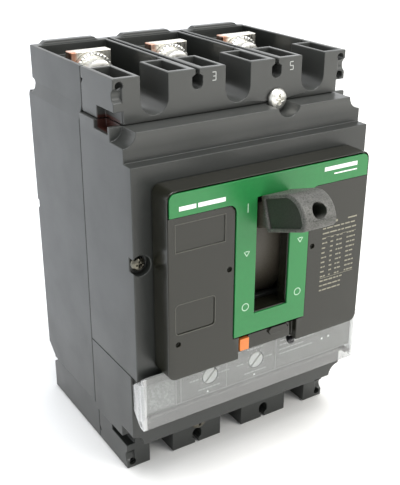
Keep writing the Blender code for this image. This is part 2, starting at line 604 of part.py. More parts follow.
def coil(axis_x, start, end, radius, wire, turns):
    """A round wire spring between two points in a plane of constant X, with flat cut ends."""
    direction = Vector((end[0] - start[0], end[1] - start[1]))
    length = direction.length
    direction.normalize()
    across = Vector((-direction.y, direction.x))
    steps = turns * 10
    curve = bpy.data.curves.new("coil", "CURVE")
    curve.dimensions = "3D"
    curve.bevel_depth = wire * MM
    curve.bevel_resolution = 1
    curve.use_fill_caps = True
    spline = curve.splines.new("POLY")
    spline.points.add(steps)
    for i in range(steps + 1):
        angle = 2 * math.pi * turns * i / steps
        along = direction * (length * i / steps) + across * (radius * math.cos(angle))
        spline.points[i].co = ((axis_x + radius * math.sin(angle)) * MM,
                               (start[0] + along.x) * MM, (start[1] + along.y) * MM, 1)
    guide = bpy.data.objects.new("coil", curve)
    bpy.context.scene.collection.objects.link(guide)
    depsgraph = bpy.context.evaluated_depsgraph_get()
    mesh = bpy.data.meshes.new_from_object(guide.evaluated_get(depsgraph))
    bpy.data.objects.remove(guide, do_unlink=True)
    obj = bpy.data.objects.new("coil", mesh)
    bpy.context.scene.collection.objects.link(obj)
    return obj


def main_spring(index):
    """One of the two tension springs between the yoke and the toggle."""
    side = (-1, 1)[index]
    body = coil(side * 5.0, (-84.5, 25.5), (-58.0, 16.5), 2.6, 0.5, 7)
    return node(body, "main_spring_%s" % ("left", "right")[index], "spring_steel")


def button_spring():
    """Return spring behind the push to trip button."""
    body = coil(BUTTON_X, (-87.4, BUTTON_Z), (SPRING_SHELF_Y - GAP, BUTTON_Z), 1.7, 0.22, 5)
    return node(body, "button_spring", "spring_steel")


def contact_shaft():
    """Insulating shaft through the three poles with a rotor for each contact arm."""
    centre = (SHAFT_Y, SHAFT_Z)
    body = rod("X", centre, 5.0, -46.0, 46.0, ROUND_SIDES)
    rotors = [rod("X", centre, 9.0, pole - 8, pole + 8, 28) for pole in POLES]
    fuse(body, *rotors)
    slots = [box((pole - 3.8, pole + 3.8), (SHAFT_Y - 1.8, SHAFT_Y + 1.8), (-12, 12)) for pole in POLES]
    cut(body, *slots)
    return node(body, "contact_shaft", "shaft_brown", (0, SHAFT_Y, SHAFT_Z))


def moving_contact(index):
    """Double-break contact arm: a copper bar with a tip on opposite faces of its ends."""
    x = POLES[index]
    bar = box((x - 3.5, x + 3.5), (SHAFT_Y - 1.5, SHAFT_Y + 1.5), (-ARM_REACH, ARM_REACH))
    tips = [box((x - 3, x + 3), (SHAFT_Y + end * 1.2, SHAFT_Y + end * 2.4), (end * 21, end * 26.5))
            for end in (1, -1)]
    return node(fuse(bar, *tips), "moving_contact_%d" % (index + 1), "bare_copper",
                (0, SHAFT_Y, SHAFT_Z))


# ---------------------------------------------------------------- current path

CONTACT_FACE = SHAFT_Y + 2.4 + GAP


def line_terminal(index):
    """Tinned bar in the upper pocket, running down to the fixed contact."""
    x = POLES[index]
    pad = box((x - BAR_HALF_W, x + BAR_HALF_W), (BAR_FRONT, BAR_REAR), (50.5, BAR_TOP_Z))
    stem = box((x - 6, x + 6), (CONTACT_FACE + 1.2, BAR_REAR + 0.6), (20.5, 52))
    tip = box((x - 3.5, x + 3.5), (CONTACT_FACE, CONTACT_FACE + 1.8), (20.5, 27.0))
    return node(fuse(pad, stem, tip), "line_terminal_%d" % (index + 1), "tinned_copper")


def load_terminal(index):
    """Tinned bar in the lower pocket, with a tail that reaches the trip unit."""
    x = POLES[index]
    pad = box((x - BAR_HALF_W, x + BAR_HALF_W), (BAR_FRONT, BAR_REAR), (-BAR_TOP_Z, -50.5))
    tail = box((x - 6, x + 6), (-48.4, BAR_REAR - 2.0), (-54.0, -50.5))
    return node(fuse(pad, tail), "load_terminal_%d" % (index + 1), "tinned_copper")


def fixed_contact(index):
    """Lower fixed contact, fed from the trip unit."""
    x = POLES[index]
    face = SHAFT_Y - 2.4 - GAP
    run = box((x - 5, x + 5), (-48.4, face - 1.5), (-27.0, -23.5))
    tip = box((x - 3.5, x + 3.5), (face - 3.0, face), (-27.0, -21.0))
    drop = box((x - 5, x + 5), (-48.4, -45.4), (-47.5, -24))
    return node(fuse(run, tip, drop), "fixed_contact_%d" % (index + 1), "bare_copper")


def arc_chute(index, end):
    """Stack of splitter plates joined along one edge; end is +1 over the shaft, -1 under it."""
    x = POLES[index]
    back = (-44.5, -22.5) if end > 0 else (-42.0, -8.0)
    spine = box((x - 12, x - 10.8), back, (end * 30, end * 48.5))
    plates = []
    for level in range(6):
        low = end * (30 + 3.3 * level)
        plates.append(box((x - 11.2, x + 12), back, (low, low + end * 1.2)))
    body = fuse(spine, *plates)
    return node(body, "arc_chute_%s_%d" % ("line" if end > 0 else "load", index + 1), "spring_steel")


def terminal_screw(index, end):
    """Terminal screw with a flanged round head and a hexagon socket, turned from the front."""
    x, z = POLES[index], end * 71.6
    flange = BAR_FRONT - GAP
    body = rod("Y", (x, z), 8.3, flange - 2.2, flange, 32)
    head = rod("Y", (x, z), 6.4, flange - 6.6, flange - 2.0, 28)
    fuse(body, head)
    cut(body, rod("Y", (x, z), 3.4, flange - 8, flange - 3.2, 6))
    return node(body, "terminal_screw_%s_%d" % ("line" if end > 0 else "load", index + 1),
                "plated_steel")


# ---------------------------------------------------------------- case screws

def case_screw(name, x, z, seat, shank_end, head=3.8, shank=1.7):
    """Pan head screw with a cross recess, head towards the front."""
    body = rod("Y", (x, z), shank, seat - 0.5, shank_end, PIN_SIDES)
    rise = 2.4
    profile = [(head, 0.0), (head, 0.9), (head * 0.86, 1.7), (head * 0.55, 2.2)]
    fuse(body, turned(x, z, seat - GAP, profile, rise, 20))
    arm, width = head * 0.52, head * 0.13
    depth = (seat - GAP - rise - 1, seat - GAP - rise + 1.5)
    cut(body, box((x - arm, x + arm), depth, (z - width, z + width)),
        box((x - width, x + width), depth, (z - arm, z + arm)))
    return node(body, name, "plated_steel")


def build():
    clear_scene()
    rear_case()
    front_case()
    load_end_cover()
    front_cover()
    label_frame()
    trip_unit_body()
    trip_fascia()
    trip_window()
    sealing_screw()
    trip_button()
    button_spring()
    trip_bar()
    handle()
    handle_yoke()
    mechanism_frame()
    contact_shaft()
    for index in range(len(DIAL_X)):
        dial(index)
        main_spring(index)
    for index in range(len(POLES)):
        moving_contact(index)
        line_terminal(index)
        load_terminal(index)
        fixed_contact(index)
        bimetal(index)
        magnet_core(index)
        for end in (1, -1):
            arc_chute(index, end)
            terminal_screw(index, end)
    case_screw("case_screw_line", BARRIERS[1], CASE_SCREW_Z[1], POST_Y, -52, 4.1)
    case_screw("case_screw_load", BARRIERS[0], CASE_SCREW_Z[-1], POST_Y, -52, 4.1)
    for side, name in ((-1, "panel_screw_left"), (1, "panel_screw_right")):
        case_screw(name, side * PANEL_SCREW_X, PANEL_SCREW_Z, PANEL_Y + 3.4, -82, 2.7, 1.4)


build()
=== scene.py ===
import json
import math
import random

import bmesh
import bpy
from mathutils import Matrix, Vector

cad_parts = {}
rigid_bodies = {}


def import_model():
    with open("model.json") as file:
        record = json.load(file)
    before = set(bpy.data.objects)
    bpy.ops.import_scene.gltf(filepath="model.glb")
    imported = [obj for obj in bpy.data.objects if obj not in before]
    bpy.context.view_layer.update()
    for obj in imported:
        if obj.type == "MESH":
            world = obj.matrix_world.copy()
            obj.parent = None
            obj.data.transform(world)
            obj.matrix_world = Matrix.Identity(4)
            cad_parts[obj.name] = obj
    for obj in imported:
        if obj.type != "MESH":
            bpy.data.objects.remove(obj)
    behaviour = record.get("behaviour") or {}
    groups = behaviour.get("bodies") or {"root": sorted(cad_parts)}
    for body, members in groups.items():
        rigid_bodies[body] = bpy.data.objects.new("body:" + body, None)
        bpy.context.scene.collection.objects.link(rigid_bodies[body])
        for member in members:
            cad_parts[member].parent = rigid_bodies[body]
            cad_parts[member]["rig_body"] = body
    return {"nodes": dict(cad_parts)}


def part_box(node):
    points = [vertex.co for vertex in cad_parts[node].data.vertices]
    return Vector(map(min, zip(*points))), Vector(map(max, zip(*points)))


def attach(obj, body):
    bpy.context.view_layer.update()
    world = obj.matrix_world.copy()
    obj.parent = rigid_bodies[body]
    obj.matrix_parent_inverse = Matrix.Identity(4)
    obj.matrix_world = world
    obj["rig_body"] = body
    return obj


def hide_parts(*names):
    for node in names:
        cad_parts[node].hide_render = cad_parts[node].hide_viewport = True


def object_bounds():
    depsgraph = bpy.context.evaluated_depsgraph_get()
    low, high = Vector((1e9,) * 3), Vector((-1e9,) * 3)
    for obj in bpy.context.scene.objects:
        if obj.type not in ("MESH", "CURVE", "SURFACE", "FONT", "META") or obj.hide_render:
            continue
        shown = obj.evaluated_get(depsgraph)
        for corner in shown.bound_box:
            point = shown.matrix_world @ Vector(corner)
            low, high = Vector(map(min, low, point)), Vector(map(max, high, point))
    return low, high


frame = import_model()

NODES = frame["nodes"]
CAD_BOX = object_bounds()
MM = 0.001
POLE_PITCH = 35.0


# ---------------------------------------------------------------- where things are

def span(name):
    """A CAD node's lowest and highest corner in millimetres."""
    low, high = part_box(name)
    return low / MM, high / MM


FACING_Y = span("label_frame")[0].y
COVER_LOW = span("front_cover")[0]
FASCIA_LOW = span("trip_fascia")[0]
CLEAR_HIGH = span("trip_window")[1]
POST_FACE_Y = span("load_end_cover")[0].y


# ---------------------------------------------------------------- shader helpers

def links(mat):
    """The nodes of a material or world, and the call that wires two sockets together."""
    return mat.node_tree.nodes, mat.node_tree.links


def new_material(name):
    mat = bpy.data.materials.new(name)
    mat.use_nodes = True
    nodes, wire = links(mat)
    nodes.clear()
    out = nodes.new("ShaderNodeOutputMaterial")
    shader = nodes.new("ShaderNodeBsdfPrincipled")
    wire.new(shader.outputs[0], out.inputs["Surface"])
    return mat, shader


def noise(mat, scale, detail=3.0, rough=0.55, stretch=None):
    """A noise field in the object's own metres; stretch squeezes it along an axis."""
    nodes, wire = links(mat)
    coord = nodes.new("ShaderNodeTexCoord")
    source = coord.outputs["Object"]
    if stretch:
        mapping = nodes.new("ShaderNodeMapping")
        mapping.inputs["Scale"].default_value = stretch
        wire.new(source, mapping.inputs["Vector"])
        source = mapping.outputs["Vector"]
    node = nodes.new("ShaderNodeTexNoise")
    node.inputs["Scale"].default_value = scale
    node.inputs["Detail"].default_value = detail
    node.inputs["Roughness"].default_value = rough
    wire.new(source, node.inputs["Vector"])
    return node.outputs["Fac"]


def remap(mat, value, low, high, to_low, to_high, smooth=False):
    nodes, wire = links(mat)
    node = nodes.new("ShaderNodeMapRange")
    node.interpolation_type = "SMOOTHSTEP" if smooth else "LINEAR"
    for socket, number in (("From Min", low), ("From Max", high), ("To Min", to_low), ("To Max", to_high)):
        node.inputs[socket].default_value = number
    wire.new(value, node.inputs["Value"])
    return node.outputs["Result"]


def along(mat, axis, field="Object"):
    """The object's own X, Y or Z in metres, or with field "Normal" that part of its surface normal."""
    nodes, wire = links(mat)
    coord = nodes.new("ShaderNodeTexCoord")
    split = nodes.new("ShaderNodeSeparateXYZ")
    wire.new(coord.outputs[field], split.inputs[0])
    return split.outputs[axis]


def math_node(mat, operation, a, b):
    """A Math node; a and b are numbers or sockets."""
    nodes, wire = links(mat)
    node = nodes.new("ShaderNodeMath")
    node.operation = operation
    for socket, value in ((0, a), (1, b)):
        if isinstance(value, (int, float)):
            node.inputs[socket].default_value = value
        else:
            wire.new(value, node.inputs[socket])
    return node.outputs[0]


def mix(mat, factor, a, b):
    """Colour mix; a and b are colours or sockets."""
    nodes, wire = links(mat)
    node = nodes.new("ShaderNodeMix")
    node.data_type = "RGBA"
    wire.new(factor, node.inputs[0])
    for socket, value in ((6, a), (7, b)):
        if isinstance(value, tuple):
            node.inputs[socket].default_value = value
        else:
            wire.new(value, node.inputs[socket])
    return node.outputs[2]


def bump(mat, height, distance, strength=1.0, under=None):
    """A bumped normal; under is another bump that it lies on."""
    nodes, wire = links(mat)
    node = nodes.new("ShaderNodeBump")
    node.inputs["Distance"].default_value = distance
    node.inputs["Strength"].default_value = strength
    wire.new(height, node.inputs["Height"])
    if under is not None:
        wire.new(under, node.inputs["Normal"])
    return node.outputs["Normal"]


EDGE_HIGHLIGHT_WIDTH = 0.5 * MM


def edge_mask(mat):
    """1 along corners, where the painted highlight goes, 0 on flat faces."""
    nodes, wire = links(mat)
    bevel = nodes.new("ShaderNodeBevel")
    bevel.samples = 4
    bevel.inputs["Radius"].default_value = EDGE_HIGHLIGHT_WIDTH
    geometry = nodes.new("ShaderNodeNewGeometry")
    dot = nodes.new("ShaderNodeVectorMath")
    dot.operation = "DOT_PRODUCT"
    wire.new(bevel.outputs[0], dot.inputs[0])
    wire.new(geometry.outputs["True Normal"], dot.inputs[1])
    return remap(mat, dot.outputs["Value"], 0.995, 0.85, 0.0, 1.0)


def shade(colour, factor):
    """A colour made darker or lighter."""
    return tuple(min(1.0, c * factor) for c in colour[:3]) + (1.0,)


EDGE_HIGHLIGHT_GAIN = 5.0           # how much paler the painted highlight on a corner is than the plastic


def moulded(name, colour, roughness, grain=0.008, edge_highlight=0.35, mottle=0.10, specular=0.5, zones=()):
    """Moulded plastic: fine spark-eroded grain, slow colour drift, corners painted lighter as a painted
    highlight.

    zones are (mask maker, colour) pairs: another colour where the mask is 1, such as a printed band."""
    mat, shader = new_material(name)
    wire = mat.node_tree.links
    cloud = noise(mat, 38, 5)
    fine = noise(mat, 700, 2)
    dim, lit = shade(colour, 1 - mottle), shade(colour, 1 + mottle)
    drift = mix(mat, remap(mat, cloud, 0.3, 0.7, 0, 1), dim, lit)
    speck = mix(mat, remap(mat, fine, 0.35, 0.75, 0, 1), drift, shade(colour, 1.08))
    uneven = remap(mat, noise(mat, 240, 4), 0.35, 0.62, 0.25, 1.0)
    # painted highlight: a pale line along the corners, standing in for the light the edges catch
    corner = math_node(mat, "MULTIPLY", edge_mask(mat), uneven)
    highlit = mix(mat, math_node(mat, "MULTIPLY", corner, edge_highlight), speck, shade(colour, EDGE_HIGHLIGHT_GAIN))
    for mask_of, other in zones:
        highlit = mix(mat, mask_of(mat), highlit, other)
    wire.new(highlit, shader.inputs["Base Color"])
    base = remap(mat, noise(mat, 60, 3), 0.3, 0.7, roughness - 0.035, roughness + 0.05)
    wire.new(base, shader.inputs["Roughness"])
    shader.inputs["Specular IOR Level"].default_value = specular
    wave = bump(mat, noise(mat, 22, 1), 0.05 * MM, 0.35)
    texture = bump(mat, noise(mat, 1100, 1), grain * MM, 0.3, wave)
    wire.new(texture, shader.inputs["Normal"])
    return mat


def speckled_grip(name, light, dark, shutter, roughness):
    """Coarse textured grip: pale moulding with dark pits, smooth recesses darkened with painted shade and a
    brownish shutter.
    """
    mat, shader = new_material(name)
    wire = mat.node_tree.links
    pits = noise(mat, 1900, 3, 0.6)
    patch = noise(mat, 260, 3)
    tone = mix(mat, remap(mat, patch, 0.35, 0.65, 0, 1), shade(light, 0.82), shade(light, 1.15))
    tone = mix(mat, remap(mat, pits, 0.45, 0.68, 0, 0.85), tone, dark)
    # painted shade: the side walls of the recess in the grip get the dark colour, where shade falls
    side = math_node(mat, "ABSOLUTE", along(mat, "X"), 0.0)
    facing = math_node(mat, "ABSOLUTE", along(mat, "X", "Normal"), 0.0)
    shaded_recess = math_node(mat, "MULTIPLY", remap(mat, side, GRIP_RECESS_X, GRIP_RECESS_X + 0.3 * MM, 1, 0),
                       remap(mat, facing, 0.6, 0.9, 0, 1))
    # 1 on what stands out of the cover, 0 on the shutter behind it
    forward = remap(mat, along(mat, "Y"), COVER_LOW.y * MM - 4 * MM, COVER_LOW.y * MM - 1.5 * MM, 1, 0)
    cap = math_node(mat, "MULTIPLY", math_node(mat, "SUBTRACT", 1.0, shaded_recess), forward)
    smooth = mix(mat, forward, shutter, dark)
    wire.new(mix(mat, cap, smooth, tone), shader.inputs["Base Color"])
    wire.new(remap(mat, pits, 0.4, 0.7, roughness - 0.1, roughness + 0.2), shader.inputs["Roughness"])
    wire.new(bump(mat, math_node(mat, "MULTIPLY", pits, cap), 0.25 * MM), shader.inputs["Normal"])
    return mat


def metal(name, colour, roughness, brushed=None, tint=None):
    """Plated metal with rolling marks, fine scratches and stained patches.

    brushed stretches the marks along an axis. tint is bare metal at the left side of each pole."""
    mat, shader = new_material(name)
    wire = mat.node_tree.links
    patch = noise(mat, 160, 5)
    lines = noise(mat, 900, 3, stretch=brushed or (1, 1, 1))
    tone = mix(mat, remap(mat, patch, 0.3, 0.7, 0, 1), shade(colour, 0.82), shade(colour, 1.1))
    if tint:
        # place across each pole, from its left side
        shifted = math_node(mat, "ADD", along(mat, "X"), 1.5 * POLE_PITCH * MM)
        local = math_node(mat, "MODULO", shifted, POLE_PITCH * MM)
        bare_to, plated_from = 10.2 * MM, 12.2 * MM
        edge = remap(mat, local, bare_to, plated_from, 1, 0, smooth=True)
        bare = math_node(mat, "MULTIPLY", edge, remap(mat, noise(mat, 260, 3), 0.35, 0.55, 0.35, 1))
        tone = mix(mat, bare, tone, tint)
    wire.new(tone, shader.inputs["Base Color"])
    shader.inputs["Metallic"].default_value = 1.0
    wire.new(remap(mat, lines, 0.3, 0.7, roughness - 0.07, roughness + 0.12), shader.inputs["Roughness"])
    wire.new(bump(mat, lines, 0.02 * MM, 0.5), shader.inputs["Normal"])
    return mat


# ---------------------------------------------------------------- materials

CASE = (0.022, 0.024, 0.022, 1)
COVER = (0.011, 0.011, 0.007, 1)
GREEN = (0.014, 0.170, 0.042, 1)
PRINT_GREY = (0.205, 0.202, 0.197, 1)
# painted light: a paler grey on the posts over the terminals, for the light that falls on their fronts
POST_PAINTED_LIGHT = (0.048, 0.050, 0.047, 1)
NOTCH_BROWN = (0.045, 0.014, 0.010, 1)
GRIP_RECESS_X = 6.1 * MM
TRIP_FRONT_Y = (FASCIA_LOW.y + 4.6) * MM
# frame_highlight_paint is a painted highlight: pale lines for the light caught by the edges of the marker
# fields
INKS = {"ink_white": (0.80, 0.82, 0.80, 1), "ink_pale": (0.42, 0.60, 0.45, 1),
        "ink_cream": (0.21, 0.20, 0.15, 1), "ink_grey": (0.36, 0.36, 0.355, 1),
        "ink_light": (0.82, 0.82, 0.81, 1), "ink_patch": (0.27, 0.268, 0.262, 1),
        "ink_line": (0.44, 0.44, 0.435, 1),
        "frame_highlight_paint": (0.060, 0.060, 0.050, 1), "ink_number": (0.45, 0.46, 0.44, 1)}


def trip_front(mat):
    """1 on the printed front of the trip unit, behind its clear cover."""
    return remap(mat, along(mat, "Y"), TRIP_FRONT_Y, TRIP_FRONT_Y + 0.4 * MM, 1, 0)


def painted_light_on_posts(mat):
    """1 on the posts over the terminals, which are painted paler than the rest of the housing as painted
    light for the light that falls on their fronts.
    """
    return remap(mat, along(mat, "Z"), 58 * MM, 62 * MM, 0, 1)


def notch_inside(mat):
    """1 in the small notches in the sides of the housing, where the moulding below shows."""
    floor_x, rim_x, fade, rim_fade = 47.2, 51.4, 0.2, 0.8
    side = math_node(mat, "ABSOLUTE", along(mat, "X"), 0.0)
    within = remap(mat, side, (rim_x - rim_fade) * MM, rim_x * MM, 1, 0)
    within = math_node(mat, "MULTIPLY", within, remap(mat, side, floor_x * MM, (floor_x + fade) * MM, 0, 1))
    for axis, low, high in (("Y", -72.6, -61.2), ("Z", 60.8, 65.6)):
        place = along(mat, axis)
        within = math_node(mat, "MULTIPLY", within, remap(mat, place, low * MM, (low + fade) * MM, 0, 1))
        within = math_node(mat, "MULTIPLY", within, remap(mat, place, (high - fade) * MM, high * MM, 1, 0))
    return within


MATERIALS = {
    "case": moulded("case_plastic", CASE, 0.325),
    "front_case": moulded("housing_plastic", CASE, 0.32,
                          zones=((painted_light_on_posts, POST_PAINTED_LIGHT), (notch_inside, NOTCH_BROWN))),
    "trip_case": moulded("trip_case_plastic", CASE, 0.325, zones=((trip_front, PRINT_GREY),)),
    "cover": moulded("cover_plastic", COVER, 0.22, grain=0.008, mottle=0.06),
    "green": moulded("facing_plastic", GREEN, 0.36, grain=0.008, edge_highlight=0.12, mottle=0.05),
    "trip": moulded("fascia_plastic", PRINT_GREY, 0.45, mottle=0.05, edge_highlight=0.1),
    "handle": speckled_grip("handle_plastic", (0.105, 0.103, 0.095, 1), (0.022, 0.026, 0.019, 1),
                            (0.044, 0.038, 0.028, 1), 0.45),
    "white": moulded("dial_plastic", (0.50, 0.50, 0.485, 1), 0.40, edge_highlight=0.0, mottle=0.04),
    "orange": moulded("button_plastic", (0.62, 0.17, 0.035, 1), 0.42, edge_highlight=0.15, mottle=0.06),
    "black": moulded("black_oxide", (0.010, 0.010, 0.011, 1), 0.14, grain=0.002, mottle=0.05, specular=0.9),
    "brown": moulded("shaft_plastic", (0.10, 0.045, 0.03, 1), 0.50),
    "tin": metal("tin_plate", (0.86, 0.83, 0.74, 1), 0.30, brushed=(1, 1, 0.1), tint=(0.72, 0.36, 0.24, 1)),
    "zinc": metal("zinc_plate", (0.86, 0.85, 0.80, 1), 0.34),
    "dark_zinc": metal("dark_zinc_plate", (0.16, 0.15, 0.12, 1), 0.25),
    "copper": metal("copper", (0.74, 0.38, 0.24, 1), 0.32, brushed=(1, 1, 0.1)),
    "steel": metal("spring_steel", (0.34, 0.34, 0.35, 1), 0.34, brushed=(0.2, 1, 1)),
}
for ink, colour in INKS.items():
    MATERIALS[ink] = moulded(ink, colour, 0.5, grain=0.004, edge_highlight=0.0, mottle=0.05)


CLEAR_GLOSS = 0.04     # share of light that the clear sheet reflects seen square on
FOOT_HAZE = 0.34       # how milky the sheet is below the printed plate


def clear_cover():
    """Clear polycarbonate: painted white glare at its two ends, milky at its foot, glossy, with a faint haze
    of scuffs.
    """
    mat = bpy.data.materials.new("clear_polycarbonate")
    mat.use_nodes = True
    nodes, wire = links(mat)
    nodes.clear()
    out = nodes.new("ShaderNodeOutputMaterial")
    through = nodes.new("ShaderNodeBsdfTransparent")
    through.inputs["Color"].default_value = (0.94, 0.95, 0.95, 1)
    gloss = nodes.new("ShaderNodeBsdfGlossy")
    gloss.inputs["Color"].default_value = (1, 1, 1, 1)
    wire.new(remap(mat, noise(mat, 300, 4), 0.3, 0.7, 0.04, 0.12), gloss.inputs["Roughness"])
    # the light goes straight through, so both sides of the sheet reflect alike
    grazing = nodes.new("ShaderNodeLayerWeight")
    grazing.inputs["Blend"].default_value = 0.5
    wave = bump(mat, noise(mat, 45, 2), 0.03 * MM, 0.3)
    wire.new(wave, gloss.inputs["Normal"])
    wire.new(wave, grazing.inputs["Normal"])
    sheen = remap(mat, math_node(mat, "POWER", grazing.outputs["Facing"], 5.0), 0, 1, CLEAR_GLOSS, 1)
    side = math_node(mat, "ABSOLUTE", along(mat, "X"), 0.0)
    # painted highlight: near-white frosted streaks at both ends, stronger at the right, stand in for glare
    glare_ends = remap(mat, side, (CLEAR_HIGH.x - 1.9) * MM, (CLEAR_HIGH.x - 1.4) * MM, 0, 1)
    glare_streaks = remap(mat, noise(mat, 700, 3, stretch=(1, 1, 0.05)), 0.35, 0.65, 0.05, 0.42)
    glare_streaks = math_node(mat, "MULTIPLY", glare_streaks, remap(mat, along(mat, "X"), -10 * MM, 10 * MM, 1.0, 1.7))
    foot = remap(mat, along(mat, "Z"), (FASCIA_LOW.z - 0.6) * MM, (FASCIA_LOW.z + 0.2) * MM, 1, 0)
    haze_and_glare = math_node(mat, "MAXIMUM", math_node(mat, "MULTIPLY", glare_ends, glare_streaks),
                     math_node(mat, "MULTIPLY", foot, FOOT_HAZE))
    scuffs = remap(mat, noise(mat, 420, 5), 0.45, 0.7, 0.01, 0.05)
    frost_and_glare = nodes.new("ShaderNodeBsdfDiffuse")
    wire.new(mix(mat, glare_ends, (0.30, 0.298, 0.295, 1), (0.95, 0.95, 0.95, 1)), frost_and_glare.inputs["Color"])
    milky_and_glare = nodes.new("ShaderNodeMixShader")
    wire.new(math_node(mat, "MAXIMUM", haze_and_glare, scuffs), milky_and_glare.inputs[0])
    wire.new(through.outputs[0], milky_and_glare.inputs[1])
    wire.new(frost_and_glare.outputs[0], milky_and_glare.inputs[2])
    blend = nodes.new("ShaderNodeMixShader")
    wire.new(sheen, blend.inputs[0])
    wire.new(milky_and_glare.outputs[0], blend.inputs[1])
    wire.new(gloss.outputs[0], blend.inputs[2])
    wire.new(blend.outputs[0], out.inputs["Surface"])
    return mat


MATERIALS["clear"] = clear_cover()


# ---------------------------------------------------------------- pieces

def body_of(name):
    return NODES[name]["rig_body"]


def paint(obj, key):
    obj.data.materials.clear()
    obj.data.materials.append(MATERIALS[key])


def rounding_room(bm):
    """How thick each face is on average: no corner on it is rounded by more than it can take."""
    return {face: 2 * face.calc_area() / max(1e-9, sum(edge.calc_length() for edge in face.edges))
            for face in bm.faces}


SHARP = math.radians(28)             # corners sharper than this are rounded
TURNED_SHARP = math.radians(32)      # edges of a turned piece sharper than this stay crisp
NEARLY_FLAT = math.radians(0.4)      # faces that meet at less than this become one
SAME_POINT = 2e-6                    # metres
ROUNDED_SHARE = 0.42                 # of a face's room, taken by the rounding of one corner


def softened(name, key, width):
    """A finished copy of a CAD node with its mesh cleaned and its corners rounded over."""
    bm = bmesh.new()
    bm.from_mesh(NODES[name].data)
    bmesh.ops.remove_doubles(bm, verts=bm.verts, dist=SAME_POINT)
    bmesh.ops.dissolve_limit(bm, angle_limit=NEARLY_FLAT, verts=bm.verts, edges=bm.edges)
    bm.normal_update()
    room = rounding_room(bm)
    weight = bm.edges.layers.float.new("bevel_weight_edge")
    for edge in bm.edges:
        if edge.is_manifold and edge.calc_face_angle() > SHARP:
            share = ROUNDED_SHARE * min(room[face] for face in edge.link_faces) / (width * MM)
            edge[weight] = min(1.0, share)
    bmesh.ops.triangulate(bm, faces=bm.faces, ngon_method="BEAUTY")
    for face in bm.faces:
        face.smooth = True
    mesh = bpy.data.meshes.new(name + "_finish")
    bm.to_mesh(mesh)
    bm.free()
    obj = bpy.data.objects.new(name + "_finish", mesh)
    bpy.context.scene.collection.objects.link(obj)
    mod = obj.modifiers.new("edges", "BEVEL")
    mod.width = width * MM
    mod.segments = 2
    mod.limit_method = "WEIGHT"
    mod.use_clamp_overlap = False
    mod.loop_slide = False
    normals = obj.modifiers.new("normals", "WEIGHTED_NORMAL")
    normals.mode = "FACE_AREA_WITH_ANGLE"
    normals.weight = 80
    normals.keep_sharp = False
    paint(obj, key)
    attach(obj, body_of(name))
    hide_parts(name)


# node: material, and width of its rounded corners in millimetres
FINISH = {
    "rear_case": ("case", 0.35), "front_case": ("front_case", 0.30), "load_end_cover": ("case", 0.30),
    "trip_unit_body": ("trip_case", 0.3), "front_cover": ("cover", 0.4), "label_frame": ("green", 0.12),
    "handle": ("handle", 1.7), "trip_button": ("orange", 0.2), "trip_window": ("clear", 0.15),
    "setting_dial_1": ("white", 0.15), "setting_dial_2": ("white", 0.15),
}
for node_name, (key, width) in FINISH.items():
    softened(node_name, key, width)


# ---------------------------------------------------------------- screws

def turned_piece(name, key, centre, rings, sides, node_name):
    """A closed piece turned about a Y axis.

    rings are (radius, y) pairs in millimetres; a radius can be a function of the angle step."""
    verts, faces = [], []
    for radius_at, y in rings:
        for i in range(sides):
            angle = 2 * math.pi * i / sides
            radius = radius_at(i) if callable(radius_at) else radius_at
            x, z = centre[0] + radius * math.cos(angle), centre[1] + radius * math.sin(angle)
            verts.append(Vector((x, y, z)) * MM)
    for level in range(len(rings) - 1):
        a, b = level * sides, (level + 1) * sides
        faces += [(a + i, b + i, b + (i + 1) % sides, a + (i + 1) % sides) for i in range(sides)]
    faces.append(tuple(range(sides)))
    last = (len(rings) - 1) * sides
    faces.append(tuple(last + i for i in reversed(range(sides))))
    mesh = bpy.data.meshes.new(name)
    mesh.from_pydata(verts, [], faces)
    bm = bmesh.new()
    bm.from_mesh(mesh)
    bmesh.ops.recalc_face_normals(bm, faces=bm.faces)
    for face in bm.faces:
        face.smooth = True
    for edge in bm.edges:
        if edge.is_manifold and edge.calc_face_angle() > TURNED_SHARP:
            edge.smooth = False
    bm.to_mesh(mesh)
    bm.free()
    obj = bpy.data.objects.new(name, mesh)
    bpy.context.scene.collection.objects.link(obj)
    paint(obj, key)
    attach(obj, body_of(node_name))
    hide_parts(node_name)


def hexagon(corner_radius, sides):
    """The radius of a hexagon as a function of the angle step."""
    def radius(i):
        turn = (2 * math.pi * i / sides) % (math.pi / 3) - math.pi / 6
        return corner_radius * math.cos(math.pi / 6) / math.cos(turn)
    return radius


def terminal_screw(node_name):
    """Large plated screw: knurled collar, serrated flange and a hexagon socket."""
    low, high = span(node_name)
    centre = ((low.x + high.x) / 2, (low.z + high.z) / 2)
    front, flange, sides = low.y, low.y + 4.4, 96

    def teeth(outer, depth):
        return lambda i: outer - (depth if i % 3 == 0 else 0.0)
    rings = [(0.02, front + 3.0), (hexagon(3.3, sides), front + 3.0), (hexagon(3.4, sides), front + 0.3),
             (hexagon(3.75, sides), front), (5.5, front), (6.1, front + 0.3), (teeth(6.4, 0.25), front + 0.9),
             (teeth(6.4, 0.25), flange - 0.7), (6.15, flange - 0.3), (6.3, flange + 0.05),
             (teeth(7.9, 0.6), flange - 0.05), (teeth(8.25, 0.35), flange + 0.35), (8.3, flange + 1.2),
             (8.3, flange + 2.15), (4.0, flange + 2.15), (4.0, high.y - 0.5), (3.5, high.y), (0.02, high.y)]
    turned_piece(node_name + "_finish", "zinc", centre, rings, sides, node_name)


for node_name in [name for name in NODES if name.startswith("terminal_screw")]:
    terminal_screw(node_name)
for node_name, key in (("case_screw_line", "zinc"), ("case_screw_load", "dark_zinc"),
                       ("panel_screw_left", "dark_zinc"), ("panel_screw_right", "dark_zinc"),
                       ("sealing_screw", "black")):
    softened(node_name, key, 0.2)
for pole in (1, 2, 3):
    for end in ("line", "load"):
        softened("%s_terminal_%d" % (end, pole), "tin", 0.35)
softened("trip_fascia", "trip", 0.1)


# ---------------------------------------------------------------- printed marks

INK = 0.06             # height of the ink above its face
SUNK = 0.01            # how far the ink reaches into it


